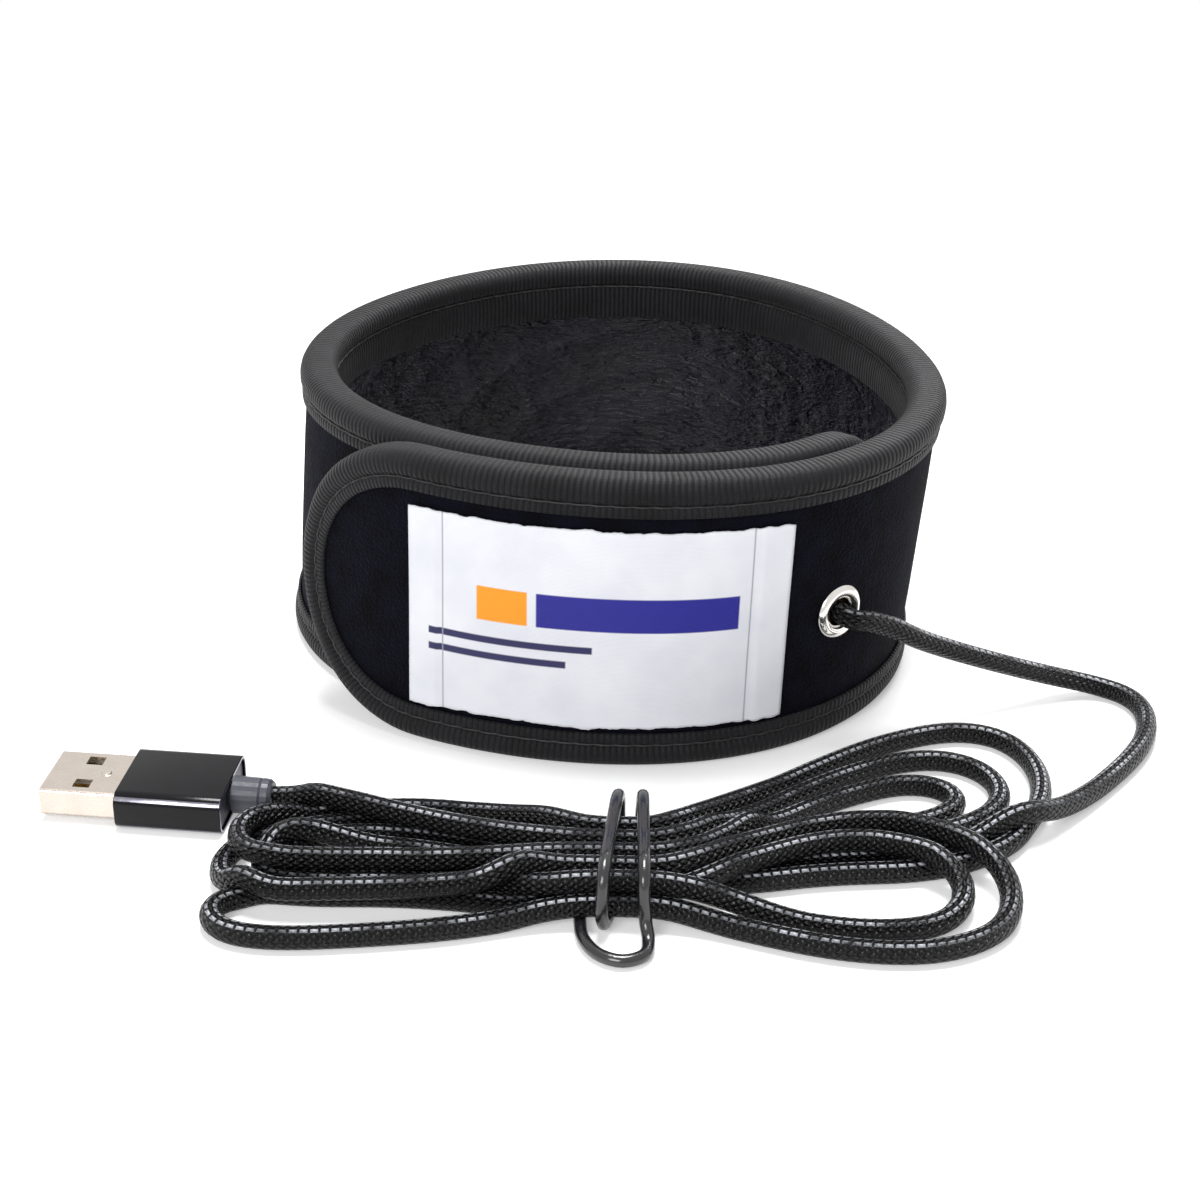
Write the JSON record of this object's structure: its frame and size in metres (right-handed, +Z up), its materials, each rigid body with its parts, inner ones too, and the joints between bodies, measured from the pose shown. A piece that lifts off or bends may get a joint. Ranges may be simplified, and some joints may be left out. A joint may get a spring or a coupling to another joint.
{
  "type": "telescope dew heater strip",
  "caption": "Soft heating strip wound into a ring and held by hook and loop, with a braided cord tied in a hank and a USB plug, to keep dew off a lens.",
  "frame": {"origin": "middle of the ring's footprint, on the surface that it stands on", "axes": "+Z up through the ring, the front with the label faces -Y, the cord leaves towards +X and its plug lies at -X"},
  "size_m": [0.1784, 0.1673, 0.05],
  "materials": {
    "loop_pile_cloth": "near-black navy loop pile, matt with a soft sheen",
    "foam_rubber": "closed-cell foam, matt",
    "heater_film": "amber film",
    "heater_foil": "etched foil",
    "coated_lining": "thin coated cloth, glossy and creased",
    "grosgrain_tape": "dark grey ribbed tape, matt",
    "hook_nylon": "moulded hooks",
    "label_cloth": "white satin tape, printed",
    "nickel": "bright nickel",
    "solder": "dull bright solder",
    "red_pvc": "wire insulation",
    "black_pvc": "wire insulation",
    "cord_braid": "tight black yarn braid with a sheen",
    "wire_coat": "glossy black coating",
    "shell_steel": "satin nickel-plated steel",
    "white_nylon": "moulded",
    "gold_contacts": "gold flash",
    "black_anodised": "black anodised, with bright cut edges",
    "grey_moulding": "satin moulded plastic"
  },
  "bodies": {
    "root": {"outer_cover": "loop_pile_cloth", "foam_pad": "foam_rubber", "heater_film": "heater_film", "heater_trace": "heater_foil", "inner_lining": "coated_lining", "edge_binding": "grosgrain_tape", "hook_patch": "hook_nylon", "label": "label_cloth", "eyelet": "nickel", "eyelet_washer": "nickel", "solder_pad_positive": "solder", "solder_pad_negative": "solder", "lead_wire_positive": "red_pvc", "lead_wire_negative": "black_pvc", "cord_lead": "cord_braid", "cord_hank": "cord_braid", "cord_tail": "cord_braid", "twist_tie": "wire_coat", "plug_shell": "shell_steel", "plug_tongue": "white_nylon", "plug_contact_1": "gold_contacts", "plug_contact_2": "gold_contacts", "plug_contact_3": "gold_contacts", "plug_contact_4": "gold_contacts", "plug_sleeve": "black_anodised", "plug_overmould": "grey_moulding"}
  },
  "joints": []
}
